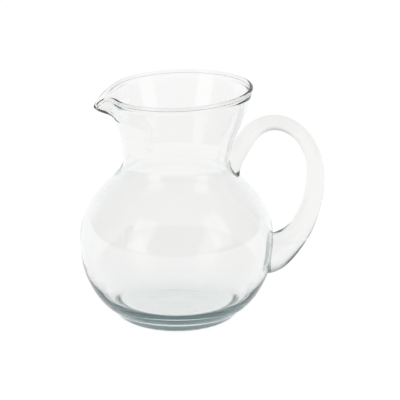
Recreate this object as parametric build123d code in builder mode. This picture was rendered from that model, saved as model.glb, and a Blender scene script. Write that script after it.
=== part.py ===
from build123d import *
import os
from math import cos, exp, hypot, radians, sin, tan

# A hand-made clear glass water jug: a blown vessel and one applied handle, fused to it.
# Frame: origin at the centre of the underside, +Z up, +X towards the handle, spout on -X.

# vessel body
base_radius = 51.3
base_edge = 11.0
belly_radius = 87.2
belly_height = 70.5
shoulder = (77.0, 108.0)
neck_root = (54.6, 133.0)
waist_height = 144.0
waist_radius = 48.2
wall = 2.8
floor_thickness = 9.0
floor_radius = 55.0
floor_rounding = 30.0

# neck above the waist: height, outer radius, sideways lean of the centre
neck = [
    (waist_height, waist_radius, 0.0),
    (150.0, 48.3, 0.1),
    (158.0, 49.2, 0.6),
    (166.0, 50.9, 1.3),
    (175.0, 53.6, 1.9),
    (184.0, 57.0, 2.2),
    (193.0, 60.6, 2.0),
    (202.0, 64.0, 1.6),
    (212.0, 66.4, 1.2),
    (219.0, 67.2, 1.0),
]

# rim and spout
rim_height = 211.0
rim_slope = 2.0
bead_radius = 1.9
spout_radius = 75.2
spout_half_angle = 9.5
spout_start = 52.0
spout_drop = 15.5
spout_droop = 2.2
spout_floor = 188.5
spout_floor_rise = 7.0
pinch_depth = 2.6
pinch_angle = 27.0
pinch_width = 12.0
half_fan = [180, 158, 136, 114, 92, 70, 48, 42, 36, 30, 24, 18, 12, 6]
fan = half_fan + [0] + [-angle for angle in reversed(half_fan[1:])]
rise_shares = [0.09, 0.2, 0.35, 0.5, 0.65, 0.77, 0.85, 0.9, 0.94, 0.975]
bead_turns = [-50, 0, 45, 90, 135, 180, 230]
neck_join = 4.0

# handle: x and z of the rod's centre, thickness in the plane of the loop, width across it
rod = [
    (66.0, 55.0, 30.0, 30.0),
    (76.0, 56.2, 35.0, 33.0),
    (86.0, 59.0, 36.0, 32.0),
    (95.0, 64.5, 31.0, 28.0),
    (103.0, 71.4, 25.5, 24.5),
    (110.0, 79.6, 22.0, 22.0),
    (116.0, 90.8, 19.8, 20.5),
    (122.2, 109.5, 18.0, 19.0),
    (124.5, 131.0, 16.7, 18.0),
    (122.2, 149.5, 15.0, 17.5),
    (114.6, 165.8, 14.4, 17.5),
    (102.5, 177.0, 14.3, 17.5),
    (88.4, 181.3, 14.3, 18.0),
    (75.0, 178.3, 15.0, 19.0),
    (65.0, 169.6, 16.5, 20.5),
    (58.0, 158.0, 16.0, 19.5),
    (53.8, 146.5, 12.5, 15.5),
    (52.8, 137.5, 8.5, 11.0),
    (54.6, 129.5, 4.5, 6.0),
]


def neck_value(height, column):
    """Radius (column 1) or lean (column 2) of the neck, straight between the listed heights."""
    for low, high in zip(neck, neck[1:]):
        if height <= high[0]:
            share = (height - low[0]) / (high[0] - low[0])
            return low[column] + share * (high[column] - low[column])
    return neck[-1][column]


def smooth(share):
    share = min(max(share, 0.0), 1.0)
    return share * share * (3 - 2 * share)


def middle_radius(angle, height):
    """Radius of the middle of the wall, at an angle counted from the spout."""
    radius = neck_value(height, 1)
    opening = smooth((height - spout_floor) / spout_floor_rise)
    reach = (spout_radius - radius) * opening * exp(-((angle / spout_half_angle) ** 2))
    off_pinch = (abs(angle) - pinch_angle) / pinch_width
    return radius + reach - pinch_depth * opening * exp(-(off_pinch**2)) - wall / 2


def lip_height(angle):
    """Height of the lip: a tilted rim that drops away at the spout."""
    height = rim_height
    for _ in range(60):
        x = neck_value(height, 2) - middle_radius(angle, height) * cos(radians(angle))
        past = max((-x - spout_start) / (spout_radius - wall / 2 - spout_start), 0.0)
        target = rim_height + tan(radians(rim_slope)) * x - spout_drop * past**spout_droop
        height += 0.3 * (target - height)
    return height


def wall_point(angle, share, out, along=0.0):
    """Point a share of the way from waist to lip, moved out across the wall and along it."""
    height = waist_height + share * (lip_height(angle) - waist_height)
    dr = middle_radius(angle, height) - middle_radius(angle, height - 0.5)
    slope = hypot(dr, 0.5)
    radius = middle_radius(angle, height) + (out * 0.5 + along * dr) / slope
    height += (along * 0.5 - out * dr) / slope
    x = neck_value(height, 2) - radius * cos(radians(angle))
    return (x, radius * sin(radians(angle)), height)


def closed_ring(points):
    """Smooth closed wire; every ring shares the same spacing, so the skin over them stays light."""
    spacing = [(180 - angle) / 360 for angle in fan] + [1.0]
    return Wire([Edge.make_spline(points, periodic=True, parameters=spacing)])


def neck_ring(share, out, along=0.0):
    return closed_ring([wall_point(angle, share, out, along) for angle in fan])


def round_ring(height, radius):
    with BuildLine(Plane.XY.offset(height)) as ring:
        CenterArc((0, 0), radius, 0, 360)
    return ring.wires()[0]


# below the waist, filled
with BuildPart() as body:
    with BuildSketch(Plane.XZ):
        with BuildLine():
            Line((0, 0), (base_radius, 0))
            side = ThreePointArc((base_radius, 0), (belly_radius, belly_height), shoulder)
            waist = (waist_radius, waist_height)
            rise = Spline(side @ 1, neck_root, waist, tangents=[side % 1, (0, 1)])
            Line(rise @ 1, (0, waist_height))
            Line((0, waist_height), (0, 0))
        make_face()
    revolve(axis=Axis.Z)
    fillet(body.edges().filter_by(GeomType.CIRCLE).sort_by(Axis.Z)[0], base_edge)

# neck, spout and rounded lip as one skin: up the outside, over the lip, down the inside.
# It ends on a plug in the waist, which the room below cuts away.
rings = [round_ring(waist_height, waist_radius)]
rings += [neck_ring(share, wall / 2) for share in rise_shares]
for turn in bead_turns:
    out, along = bead_radius * cos(radians(turn)), bead_radius * sin(radians(turn))
    rings.append(neck_ring(1.0, out, along))
rings += [neck_ring(share, -wall / 2) for share in reversed(rise_shares[1:])]
rings.append(round_ring(waist_height + neck_join, waist_radius - wall))
with BuildPart() as collar:
    add(Solid.make_loft(rings, ruled=True))

# room inside the vessel below the neck
with BuildPart() as room:
    with BuildSketch(Plane.XZ) as half_room:
        with BuildLine():
            floor_line = Line((0, floor_thickness), (floor_radius, floor_thickness))
            inner_shoulder = (shoulder[0] - 0.88 * wall, shoulder[1] - 0.47 * wall)
            middle = (belly_radius - wall, belly_height)
            inner_side = ThreePointArc(floor_line @ 1, middle, inner_shoulder)
            waist = (waist_radius - wall, waist_height)
            root = (neck_root[0] - 0.8 * wall, neck_root[1] - 0.6 * wall)
            inner_rise = Spline(inner_side @ 1, root, waist, tangents=[inner_side % 1, (0, 1)])
            plug_top = waist_height + 2 * neck_join
            Polyline(waist, (waist[0], plug_top), (0, plug_top), (0, floor_thickness))
        make_face()
        corner = half_room.vertices().sort_by_distance((floor_radius, floor_thickness))[0]
        fillet(corner, floor_rounding)
    revolve(axis=Axis.Z)

with BuildPart() as vessel:
    add(body)
    add(collar)
    add(room, mode=Mode.SUBTRACT)

# a core that fills the vessel to the middle of its wall, for trimming the handle
with BuildPart() as core:
    with BuildSketch(Plane.XZ):
        with BuildLine():
            depth = wall / 2
            core_side = ThreePointArc(
                (base_radius - depth, depth),
                (belly_radius - depth, belly_height),
                (shoulder[0] - 0.88 * depth, shoulder[1] - 0.47 * depth),
            )
            core_waist = (waist_radius - depth, waist_height)
            core_root = (neck_root[0] - 0.8 * depth, neck_root[1] - 0.6 * depth)
            core_rise = Spline(core_side @ 1, core_root, core_waist, tangents=[core_side % 1, (0, 1)])
            Polyline(core_waist, (waist_radius - depth, 190), (0, 190), (0, depth), core_side @ 0)
        make_face()
    revolve(axis=Axis.Z)

# the handle: one rod, thick where it meets the belly, its tail pressed down the neck
with BuildPart() as handle:
    with BuildLine() as rod_line:
        Spline(*[(x, 0, z) for x, z, _, _ in rod])
    centre = rod_line.edges()[0]
    for x, z, thick, broad in rod:
        along = centre.tangent_at(centre.param_at_point((x, 0, z)))
        with BuildSketch(Plane(origin=(x, 0, z), x_dir=(0, 1, 0), z_dir=along)):
            Ellipse(broad / 2, thick / 2)
    loft()
    add(core, mode=Mode.SUBTRACT)
    add(vessel, mode=Mode.SUBTRACT)

os.makedirs("parts", exist_ok=True)
for name, piece in (("vessel", vessel), ("handle", handle)):
    piece.part.label = name
    export_step(piece.part, f"parts/{name}.step")
    print(name, len(piece.solids()), piece.part.is_valid, round(piece.part.volume / 1000, 1), "ml")
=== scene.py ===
import bpy
import bmesh
from math import atan2, cos, degrees, exp, hypot, pi, radians, sin, tan
from mathutils import Matrix, Vector


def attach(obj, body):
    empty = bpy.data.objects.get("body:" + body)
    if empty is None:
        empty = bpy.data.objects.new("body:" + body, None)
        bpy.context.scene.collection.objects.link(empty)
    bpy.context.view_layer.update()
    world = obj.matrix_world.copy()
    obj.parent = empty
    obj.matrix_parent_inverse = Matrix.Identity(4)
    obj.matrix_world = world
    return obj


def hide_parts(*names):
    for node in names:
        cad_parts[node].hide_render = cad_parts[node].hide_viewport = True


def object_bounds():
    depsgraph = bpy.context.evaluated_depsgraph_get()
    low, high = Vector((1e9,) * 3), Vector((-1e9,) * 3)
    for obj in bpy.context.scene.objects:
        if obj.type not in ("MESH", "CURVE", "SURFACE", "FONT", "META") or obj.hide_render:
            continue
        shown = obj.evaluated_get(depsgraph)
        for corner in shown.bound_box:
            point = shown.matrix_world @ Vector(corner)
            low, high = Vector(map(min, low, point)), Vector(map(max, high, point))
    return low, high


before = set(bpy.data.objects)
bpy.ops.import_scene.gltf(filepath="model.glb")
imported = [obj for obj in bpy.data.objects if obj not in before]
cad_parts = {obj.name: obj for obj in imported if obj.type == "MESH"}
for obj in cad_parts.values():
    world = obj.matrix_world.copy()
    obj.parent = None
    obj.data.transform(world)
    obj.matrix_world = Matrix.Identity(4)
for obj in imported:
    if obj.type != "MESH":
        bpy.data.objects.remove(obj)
cadBox = [list(corner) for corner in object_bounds()]
print("stage: frame loaded")

vessel = {
    "wall": 0.0028,
    "waistHeight": 0.144,
    "waistRadius": 0.0482,
    # radius, height: underside, foot, belly and shoulder up to the waist
    "outside": [
        (0.0, 0.0), (0.026, 0.0), (0.0455, 0.0), (0.0530, 0.0030), (0.0592, 0.0090),
        (0.0691, 0.0180), (0.0803, 0.0360), (0.0858, 0.0540), (0.0872, 0.0705),
        (0.0850, 0.0900), (0.0770, 0.1080), (0.0661, 0.1215), (0.0548, 0.1330),
    ],
    # inside, from the waist down to the middle of the floor
    "inside": [
        (0.0523, 0.1313), (0.0640, 0.1193), (0.0745, 0.1066), (0.0823, 0.0895),
        (0.0844, 0.0705), (0.0830, 0.0540), (0.0768, 0.0360), (0.0660, 0.0215),
        (0.0500, 0.0120), (0.0280, 0.0092), (0.0, 0.0090),
    ],
    # neck above the waist: height, outer radius, sideways lean towards the handle
    "neck": [
        (0.144, 0.0482, 0.0), (0.150, 0.0483, 0.0001), (0.158, 0.0492, 0.0006),
        (0.166, 0.0509, 0.0013), (0.175, 0.0536, 0.0019), (0.184, 0.0570, 0.0022),
        (0.193, 0.0606, 0.0020), (0.202, 0.0640, 0.0016), (0.212, 0.0664, 0.0012),
        (0.219, 0.0672, 0.0010),
    ],
    # heights of the spun neck's points, closer together near the spout
    "neckHeights": [0.144, 0.158, 0.174, 0.187, 0.192, 0.198, 0.205],
    "rimHeight": 0.211,
    "rimSlope": 2.0,       # degrees, up towards the handle
    "bead": 0.0019,        # radius of the rounded lip
    "beadTurns": (-50, -5, 40, 90, 140, 185, 230),
    "spoutRadius": 0.0752,
    "spoutAngle": 9.5,     # half of its width, in degrees
    "spoutStart": 0.052,   # where the lip starts to droop, from the axis
    "spoutDrop": 0.0155,
    "spoutDroop": 2.2,     # how late the drop comes
    "spoutFloor": 0.1885,  # height where the spout begins
    "spoutRise": 0.007,
    "pinch": 0.0026,       # dents on both sides of the spout
    "pinchAngle": 27.0,
    "pinchWidth": 12.0,
    "lipRounds": 60,       # rounds to settle the lip's height, and the share of each
    "lipShare": 0.3,
    "slopeStep": 0.0005,
    "steps": 224,          # round the axis
    "curveSteps": 9,       # between two points of the profile
    "mergeDistance": 1e-6,
    # the filler that trims the handle: its shoulder, its neck and its steps
    "fillerShoulder": (0.0534, 0.1322),
    "fillerHeights": [0.144, 0.166, 0.19],
    "fillerSteps": 96,
}


def smooth(share):
    share = min(max(share, 0.0), 1.0)
    return share * share * (3 - 2 * share)


def neckValue(height, column):
    # a soft line through the table, so the glass shows no facets
    rows = vessel["neck"]
    index = 0
    while index < len(rows) - 2 and height > rows[index + 1][0]:
        index += 1
    low, high = rows[index], rows[index + 1]
    before = rows[max(index - 1, 0)]
    after = rows[min(index + 2, len(rows) - 1)]
    width = high[0] - low[0]
    slopeLow = (high[column] - before[column]) / (high[0] - before[0])
    slopeHigh = (after[column] - low[column]) / (after[0] - low[0])
    if index == 0:
        slopeLow = 0.0  # upright at the waist
    t = min(max((height - low[0]) / width, 0.0), 1.0)
    return (
        (2 * t**3 - 3 * t**2 + 1) * low[column]
        + (t**3 - 2 * t**2 + t) * width * slopeLow
        + (-2 * t**3 + 3 * t**2) * high[column]
        + (t**3 - t**2) * width * slopeHigh
    )


def middleRadius(angle, height):
    # middle of the wall; the angle is counted from the spout
    radius = neckValue(height, 1)
    opening = smooth((height - vessel["spoutFloor"]) / vessel["spoutRise"])
    offSpout = angle / vessel["spoutAngle"]
    reach = (vessel["spoutRadius"] - radius) * opening * exp(-(offSpout**2))
    offPinch = (abs(angle) - vessel["pinchAngle"]) / vessel["pinchWidth"]
    pinched = vessel["pinch"] * opening * exp(-(offPinch**2))
    return radius + reach - pinched - vessel["wall"] / 2


def lipHeight(angle):
    # the lip's height depends on how far out it is, and the other way round
    height = top = vessel["rimHeight"]
    start, rise = vessel["spoutStart"], tan(radians(vessel["rimSlope"]))
    full = vessel["spoutRadius"] - vessel["wall"] / 2 - start
    for _ in range(vessel["lipRounds"]):
        x = neckValue(height, 2) - middleRadius(angle, height) * cos(radians(angle))
        past = max((-x - start) / full, 0.0)
        drop = vessel["spoutDrop"] * past ** vessel["spoutDroop"]
        height += vessel["lipShare"] * (top + rise * x - drop - height)
    return height


def profileMesh(points):
    # a smooth line through the points, as a chain of edges
    curve = bpy.data.curves.new("profile", "CURVE")
    curve.dimensions = "3D"
    curve.resolution_u = vessel["curveSteps"]
    spline = curve.splines.new("BEZIER")
    spline.bezier_points.add(len(points) - 1)
    for knot, (radius, height) in zip(spline.bezier_points, points):
        knot.co = (radius, 0, height)
        knot.handle_left_type = knot.handle_right_type = "AUTO"
    holder = bpy.data.objects.new("profile", curve)
    bm = bmesh.new()
    mesh = bpy.data.meshes.new_from_object(holder)
    bm.from_mesh(mesh)
    bpy.data.objects.remove(holder)
    bpy.data.curves.remove(curve)
    bpy.data.meshes.remove(mesh)
    for vert in bm.verts:
        vert.co.x = max(vert.co.x, 0.0)
        vert.co.z = max(vert.co.z, 0.0)  # the underside stays flat
    return bm


def spinRound(bm, steps):
    bmesh.ops.spin(
        bm, geom=bm.verts[:] + bm.edges[:], cent=(0, 0, 0), axis=(0, 0, 1),
        angle=2 * pi, steps=steps, use_merge=True,
    )
    bmesh.ops.remove_doubles(bm, verts=bm.verts[:], dist=vessel["mergeDistance"])
    bmesh.ops.recalc_face_normals(bm, faces=bm.faces[:])


def shapeNeck(bm):
    # the neck is spun as a plain tube; here it leans, flares and gets its spout
    middle = vessel["waistRadius"] - vessel["wall"] / 2
    waist, top = vessel["waistHeight"], vessel["rimHeight"]
    step = vessel["slopeStep"]
    lips = {}
    for vert in bm.verts:
        x, y, z = vert.co
        if z <= waist:
            continue
        angle = round(degrees(atan2(y, -x)), 4)
        if angle not in lips:
            lips[angle] = lipHeight(angle)
        out = hypot(x, y) - middle  # from the middle of the wall
        along = max(z - top, 0.0)   # above the lip's start, on the bead
        share = min((z - waist) / (top - waist), 1.0)
        height = waist + share * (lips[angle] - waist)
        flare = middleRadius(angle, height) - middleRadius(angle, height - step)
        slope = hypot(flare, step)
        radius = middleRadius(angle, height) + (out * step + along * flare) / slope
        z = height + (along * step - out * flare) / slope
        x = neckValue(height, 2) - radius * cos(radians(angle))
        vert.co = (x, radius * sin(radians(angle)), z)


def makePiece(name, bm):
    mesh = bpy.data.meshes.new(name)
    bm.to_mesh(mesh)
    bm.free()
    for face in mesh.polygons:
        face.use_smooth = True
    piece = bpy.data.objects.new(name, mesh)
    bpy.context.scene.collection.objects.link(piece)
    return piece


def blowVessel():
    # one closed profile: up the outside, over the bead and down the inside
    middle = vessel["waistRadius"] - vessel["wall"] / 2
    outer, inner = middle + vessel["wall"] / 2, middle - vessel["wall"] / 2
    bead, top = vessel["bead"], vessel["rimHeight"]
    points = list(vessel["outside"])
    points += [(outer, height) for height in vessel["neckHeights"]]
    for turn in vessel["beadTurns"]:
        points.append((middle + bead * cos(radians(turn)), top + bead * sin(radians(turn))))
    points += [(inner, height) for height in reversed(vessel["neckHeights"])]
    points += vessel["inside"]
    bm = profileMesh(points)
    spinRound(bm, vessel["steps"])
    shapeNeck(bm)
    return makePiece("blownBody", bm)


def fillToMidWall():
    # a solid up to the middle of the wall, which trims the handle
    half = vessel["wall"] / 2
    neckRadius = vessel["waistRadius"] - half
    points = [(0.0, half)]
    points += [(radius - half, max(height, half)) for radius, height in vessel["outside"][2:-1]]
    points.append(vessel["fillerShoulder"])
    points += [(neckRadius, height) for height in vessel["fillerHeights"]]
    points.append((0.0, vessel["fillerHeights"][-1]))
    bm = profileMesh(points)
    spinRound(bm, vessel["fillerSteps"])
    return makePiece("filler", bm)


handle = {
    # x and z of the rod's centre, thickness in the loop's plane, width across it
    "rod": [
        (0.0660, 0.0550, 0.0300, 0.0300), (0.0760, 0.0562, 0.0350, 0.0330),
        (0.0860, 0.0590, 0.0360, 0.0320), (0.0950, 0.0645, 0.0310, 0.0280),
        (0.1030, 0.0714, 0.0255, 0.0245), (0.1100, 0.0796, 0.0220, 0.0220),
        (0.1160, 0.0908, 0.0198, 0.0205), (0.1222, 0.1095, 0.0180, 0.0190),
        (0.1245, 0.1310, 0.0167, 0.0180), (0.1222, 0.1495, 0.0150, 0.0175),
        (0.1146, 0.1658, 0.0144, 0.0175), (0.1025, 0.1770, 0.0143, 0.0175),
        (0.0884, 0.1813, 0.0143, 0.0180), (0.0750, 0.1783, 0.0150, 0.0190),
        (0.0650, 0.1696, 0.0165, 0.0205), (0.0580, 0.1580, 0.0160, 0.0195),
        (0.0538, 0.1465, 0.0125, 0.0155), (0.0528, 0.1375, 0.0085, 0.0110),
        (0.0546, 0.1295, 0.0045, 0.0060),
    ],
    "sides": 16,
    "smoothing": 3,        # subdivision levels
    "seamMerge": 1e-7,
}


def pullHandle():
    # one ring of the rod is extruded from station to station
    bm = bmesh.new()
    rod, sides = handle["rod"], handle["sides"]
    swell = 3 / (2 + cos(2 * pi / sides))  # subdivision draws a ring in by this much
    ring = bmesh.ops.create_circle(bm, segments=sides, radius=0.5)["verts"]
    for index, station in enumerate(rod):
        before, after = rod[max(index - 1, 0)], rod[min(index + 1, len(rod) - 1)]
        # subdivision cuts inside the bends, so each station stands out by as much
        x, z, thick, broad = [
            here - (last - 2 * here + following) / 6
            for last, here, following in zip(before, station, after)
        ]
        along = Vector((after[0] - before[0], 0, after[1] - before[1])).normalized()
        across = Vector((0, 1, 0))
        turn = Matrix((across, along.cross(across), along)).transposed().to_4x4()
        size = Matrix.Diagonal((broad * swell, thick * swell, 1, 1))
        place = Matrix.Translation((x, 0, z)) @ turn @ size
        if index == 0:
            current = Matrix.Identity(4)
        else:
            edges = [edge for edge in bm.edges if all(vert in ring for vert in edge.verts)]
            grown = bmesh.ops.extrude_edge_only(bm, edges=edges)["geom"]
            ring = [item for item in grown if isinstance(item, bmesh.types.BMVert)]
        bmesh.ops.transform(bm, matrix=place @ current.inverted(), verts=ring)
        current = place
    ends = [edge for edge in bm.edges if edge.is_boundary]
    bmesh.ops.holes_fill(bm, edges=ends, sides=sides)
    bmesh.ops.recalc_face_normals(bm, faces=bm.faces[:])
    piece = makePiece("pulledRod", bm)
    soften = piece.modifiers.new("soften", "SUBSURF")
    soften.levels = soften.render_levels = handle["smoothing"]
    settle(piece)
    return piece


def settle(piece):
    # bakes the modifiers into the mesh
    graph = bpy.context.evaluated_depsgraph_get()
    mesh = bpy.data.meshes.new_from_object(piece.evaluated_get(graph), depsgraph=graph)
    old = piece.data
    piece.modifiers.clear()
    piece.data = mesh
    bpy.data.meshes.remove(old)


def carve(piece, other, operation):
    cut = piece.modifiers.new("cut", "BOOLEAN")
    cut.operation = operation
    cut.solver = "EXACT"
    cut.object = other
    cut.material_mode = "TRANSFER"  # each face keeps the glass it came with
    settle(piece)


def dropFaces(bm, slot):
    faces = [face for face in bm.faces if face.material_index == slot]
    bmesh.ops.delete(bm, geom=faces, context="FACES")


def setSlot(faces, slot):
    for face in faces:
        face.material_index = slot


def partAtSeam(fused, seamMaterial):
    # the fused body is parted into its two pieces, each closed with the same hidden faces
    vesselMesh = bmesh.new()
    vesselMesh.from_mesh(fused.data)
    handleMesh = vesselMesh.copy()
    dropFaces(vesselMesh, 1)
    dropFaces(handleMesh, 0)
    rims = [edge for edge in vesselMesh.edges if edge.is_boundary]
    filled = bmesh.ops.holes_fill(vesselMesh, edges=rims, sides=0)["faces"]
    filled = bmesh.ops.triangulate(vesselMesh, faces=filled)["faces"]
    setSlot(vesselMesh.faces, 0)
    setSlot(filled, 1)
    setSlot(handleMesh.faces, 0)
    seam = vesselMesh.copy()
    dropFaces(seam, 0)
    bmesh.ops.reverse_faces(seam, faces=seam.faces[:])
    seamMesh = bpy.data.meshes.new("seam")
    seam.to_mesh(seamMesh)
    handleMesh.from_mesh(seamMesh)
    seam.free()
    bpy.data.meshes.remove(seamMesh)
    bmesh.ops.remove_doubles(handleMesh, verts=handleMesh.verts[:], dist=handle["seamMerge"])
    pieces = []
    for name, bm, glass in zip(
        ("glassVessel", "glassHandle"), (vesselMesh, handleMesh), list(fused.data.materials)
    ):
        loose = [edge for edge in bm.edges if not edge.is_manifold]
        print("stage:", name, "parted, open edges", len(loose))
        for edge in bm.edges:  # sharp where the hidden faces start
            edge.smooth = len({face.material_index for face in edge.link_faces}) < 2
        piece = makePiece(name, bm)
        piece.data.materials.append(glass)
        piece.data.materials.append(seamMaterial)
        pieces.append(piece)
    bpy.data.objects.remove(fused)
    return pieces


clearGlass = {
    "ior": 1.5,
    "roughness": 0.004,
    "tint": (0.984, 0.978, 0.970, 1),
    "depthColour": (0.45, 0.62, 0.64, 1),
    "depthDensity": 18.0,
    "waveSize": 26.0,
    "waveDepth": 0.00006,
}

handGlass = dict(
    clearGlass, tint=(0.925, 0.917, 0.905, 1), depthDensity=3.0, waveSize=60.0
)

handmade = {
    "waveDetail": 1.0,
    "waveShade": (0.0, 1.0, 0.985, 1.0),   # each range: from low, from high, to low, to high
    "seedScale": 90.0,
    "seedBump": (0.0, 0.05, 0.25, 0.0),
    "smudgeScale": 14.0,
    "smudgeDetail": 4.0,
    "smudgeRough": (0.55, 0.8, 0.0, 0.02),
}


def addRange(tree, source, span):
    ramp = tree.nodes.new("ShaderNodeMapRange")
    for name, value in zip(("From Min", "From Max", "To Min", "To Max"), span):
        ramp.inputs[name].default_value = value
    tree.links.new(source, ramp.inputs["Value"])
    return ramp


def addMath(tree, operation, first, second):
    both = tree.nodes.new("ShaderNodeMath")
    both.operation = operation
    tree.links.new(first, both.inputs[0])
    tree.links.new(second, both.inputs[1])
    return both.outputs["Value"]


def makeHandmadeGroup():
    # slow waves, a few seeds and faint smudges, as in glass worked by hand
    group = bpy.data.node_groups.new("handmadeGlass", "ShaderNodeTree")
    for name, kind, start in (
        ("tint", "NodeSocketColor", (1, 1, 1, 1)),
        ("roughness", "NodeSocketFloat", clearGlass["roughness"]),
        ("waveSize", "NodeSocketFloat", clearGlass["waveSize"]),
    ):
        socket = group.interface.new_socket(name, in_out="INPUT", socket_type=kind)
        socket.default_value = start
    for name, kind in (
        ("colour", "NodeSocketColor"),
        ("roughness", "NodeSocketFloat"),
        ("height", "NodeSocketFloat"),
    ):
        group.interface.new_socket(name, in_out="OUTPUT", socket_type=kind)
    nodes, links = group.nodes, group.links
    into = nodes.new("NodeGroupInput")
    out = nodes.new("NodeGroupOutput")
    place = nodes.new("ShaderNodeTexCoord")

    waves = nodes.new("ShaderNodeTexNoise")
    waves.inputs["Detail"].default_value = handmade["waveDetail"]
    links.new(place.outputs["Object"], waves.inputs["Vector"])
    links.new(into.outputs["waveSize"], waves.inputs["Scale"])
    seeds = nodes.new("ShaderNodeTexVoronoi")
    seeds.inputs["Scale"].default_value = handmade["seedScale"]
    links.new(place.outputs["Object"], seeds.inputs["Vector"])
    seedBump = addRange(group, seeds.outputs["Distance"], handmade["seedBump"])
    height = addMath(group, "ADD", waves.outputs["Fac"], seedBump.outputs["Result"])
    links.new(height, out.inputs["height"])

    smudge = nodes.new("ShaderNodeTexNoise")
    smudge.inputs["Scale"].default_value = handmade["smudgeScale"]
    smudge.inputs["Detail"].default_value = handmade["smudgeDetail"]
    links.new(place.outputs["Object"], smudge.inputs["Vector"])
    smudgeRough = addRange(group, smudge.outputs["Fac"], handmade["smudgeRough"])
    rough = addMath(group, "ADD", smudgeRough.outputs["Result"], into.outputs["roughness"])
    links.new(rough, out.inputs["roughness"])

    shade = nodes.new("ShaderNodeMix")
    shade.data_type = "RGBA"
    shade.blend_type = "MULTIPLY"
    shade.inputs["Factor"].default_value = 1.0
    waveShade = addRange(group, waves.outputs["Fac"], handmade["waveShade"])
    links.new(into.outputs["tint"], shade.inputs["A"])
    links.new(waveShade.outputs["Result"], shade.inputs["B"])
    links.new(shade.outputs["Result"], out.inputs["colour"])
    return group


def makeGlass(name, finish, group):
    material = bpy.data.materials.new(name)
    material.use_nodes = True
    nodes, links = material.node_tree.nodes, material.node_tree.links
    shader = nodes["Principled BSDF"]
    shader.inputs["Transmission Weight"].default_value = 1.0
    shader.inputs["IOR"].default_value = finish["ior"]
    worked = nodes.new("ShaderNodeGroup")
    worked.node_tree = group
    for key in ("tint", "roughness", "waveSize"):
        worked.inputs[key].default_value = finish[key]
    bump = nodes.new("ShaderNodeBump")
    bump.inputs["Distance"].default_value = finish["waveDepth"]
    bump.inputs["Strength"].default_value = 1.0
    links.new(worked.outputs["height"], bump.inputs["Height"])
    links.new(bump.outputs["Normal"], shader.inputs["Normal"])
    links.new(worked.outputs["colour"], shader.inputs["Base Color"])
    links.new(worked.outputs["roughness"], shader.inputs["Roughness"])
    depth = nodes.new("ShaderNodeVolumeAbsorption")
    depth.inputs["Color"].default_value = finish["depthColour"]
    depth.inputs["Density"].default_value = finish["depthDensity"]
    links.new(depth.outputs["Volume"], nodes["Material Output"].inputs["Volume"])
    return material


def makeSeam():
    # where the two pieces are one glass there is nothing to see
    material = bpy.data.materials.new("fusedSeam")
    material.use_nodes = True
    shader = material.node_tree.nodes["Principled BSDF"]
    shader.inputs["Alpha"].default_value = 0.0
    return material


handWork = makeHandmadeGroup()
jug = blowVessel()
jug.data.materials.append(makeGlass("vesselGlass", clearGlass, handWork))
print("stage: body blown", len(jug.data.polygons))
grip = pullHandle()
grip.data.materials.append(makeGlass("handleGlass", handGlass, handWork))
print("stage: handle pulled", len(grip.data.polygons))
filler = fillToMidWall()
carve(grip, filler, "DIFFERENCE")
print("stage: handle trimmed", len(grip.data.polygons))
carve(jug, grip, "UNION")
print("stage: fused", len(jug.data.polygons))
bpy.data.objects.remove(filler)
bpy.data.objects.remove(grip)
glassVessel, glassHandle = partAtSeam(jug, makeSeam())
for piece, node in ((glassVessel, "vessel"), (glassHandle, "handle")):
    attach(piece, "root")
    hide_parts(node)

studio = {
    "white": (1, 1, 1, 1),
    "floorSize": 60.0,
    "floorDrop": 0.0002,   # just under the glass
    "floorColour": (0.2, 0.2, 0.2, 1),
    "floorRoughness": 0.9,
    "floorGlow": 0.94,
    # darker parts of the surroundings: axis, where each starts, where it is full, its level
    "flags": [
        ("Z", 0.02, 0.7, 0.4),
        ("X", 0.55, 1.0, 0.3),
        ("X", -0.6, -1.0, 0.35),
        ("Y", -0.2, -1.0, 0.5),
    ],
    "softBoxes": [("leftBox", (-1.3, -1.2, 1.0)), ("rightBox", (1.5, -0.9, 1.1))],
    "boxSize": (0.9, 1.8),
    "boxPower": 3.0,
    "boxTarget": (0, 0, 0.12),
    "aim": (-0.0018, 0.0007, 0.0008),  # from the middle of the CAD box
    "elevation": 17.68,
    "distance": 2.434,
    "lens": 243.4,
    "sensor": 36.0,
    "farthest": 200,       # as far as the camera sees, in metres
    "bounces": 64,         # fewer leave black lines in the rim
}


def layFloor():
    bm = bmesh.new()
    bmesh.ops.create_grid(bm, x_segments=4, y_segments=4, size=studio["floorSize"] / 2)
    floor = makePiece("floor", bm)
    floor.data.transform(Matrix.Translation((0, 0, -studio["floorDrop"])))
    material = bpy.data.materials.new("paleFloor")
    material.use_nodes = True
    shader = material.node_tree.nodes["Principled BSDF"]
    shader.inputs["Roughness"].default_value = studio["floorRoughness"]
    shader.inputs["Specular IOR Level"].default_value = 0.0
    shader.inputs["Base Color"].default_value = studio["floorColour"]
    shader.inputs["Emission Color"].default_value = studio["white"]
    shader.inputs["Emission Strength"].default_value = studio["floorGlow"]
    floor.data.materials.append(material)


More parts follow.
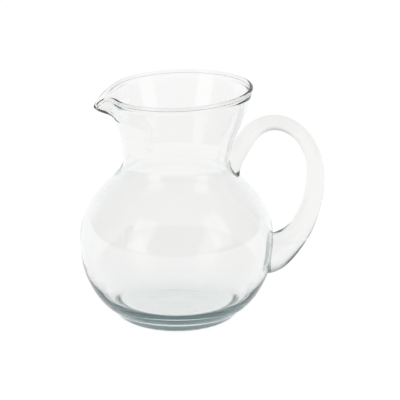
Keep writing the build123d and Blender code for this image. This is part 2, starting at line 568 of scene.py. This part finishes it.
def lightWorld():
    # white all round; darker above, at both sides and in front, which draws the glass's edges
    world = bpy.data.worlds.new("studio")
    bpy.context.scene.world = world
    world.use_nodes = True
    tree = world.node_tree
    nodes, links = tree.nodes, tree.links
    back = nodes["Background"]
    back.inputs["Color"].default_value = studio["white"]
    place = nodes.new("ShaderNodeTexCoord")
    split = nodes.new("ShaderNodeSeparateXYZ")
    links.new(place.outputs["Generated"], split.inputs["Vector"])
    level = None
    for axis, start, end, dark in studio["flags"]:
        ramp = addRange(tree, split.outputs[axis], (start, end, 1.0, dark))
        ramp.interpolation_type = "SMOOTHSTEP"
        shadow = ramp.outputs["Result"]
        level = shadow if level is None else addMath(tree, "MULTIPLY", level, shadow)
    path = nodes.new("ShaderNodeLightPath")
    seen = nodes.new("ShaderNodeMix")
    links.new(path.outputs["Is Camera Ray"], seen.inputs["Factor"])
    links.new(level, seen.inputs["A"])
    seen.inputs["B"].default_value = 1.0  # the backdrop itself stays white
    links.new(seen.outputs["Result"], back.inputs["Strength"])


def addSoftBox(name, place):
    lamp = bpy.data.lights.new(name, "AREA")
    lamp.shape = "RECTANGLE"
    lamp.size, lamp.size_y = studio["boxSize"]
    lamp.energy = studio["boxPower"]
    box = bpy.data.objects.new(name, lamp)
    facing = Vector(studio["boxTarget"]) - Vector(place)
    box.location = place
    box.rotation_euler = facing.to_track_quat("-Z", "Y").to_euler()
    box.visible_camera = False
    bpy.context.scene.collection.objects.link(box)


def placeCamera():
    low, high = cadBox
    aim = (Vector(low) + Vector(high)) / 2 + Vector(studio["aim"])
    rise = radians(studio["elevation"])
    camera = bpy.data.cameras.new("camera")
    camera.lens = studio["lens"]
    camera.sensor_width = studio["sensor"]
    camera.clip_end = studio["farthest"]
    holder = bpy.data.objects.new("camera", camera)
    holder.location = aim + Vector((0, -cos(rise), sin(rise))) * studio["distance"]
    holder.rotation_euler = (pi / 2 - rise, 0, 0)
    bpy.context.scene.collection.objects.link(holder)
    bpy.context.scene.camera = holder


layFloor()
lightWorld()
for name, place in studio["softBoxes"]:
    addSoftBox(name, place)
placeCamera()
scene = bpy.context.scene
scene.view_settings.view_transform = "Standard"
scene.cycles.caustics_refractive = True
scene.cycles.max_bounces = studio["bounces"]
scene.cycles.transmission_bounces = studio["bounces"]
scene.cycles.glossy_bounces = studio["bounces"]
print("stage: studio ready")
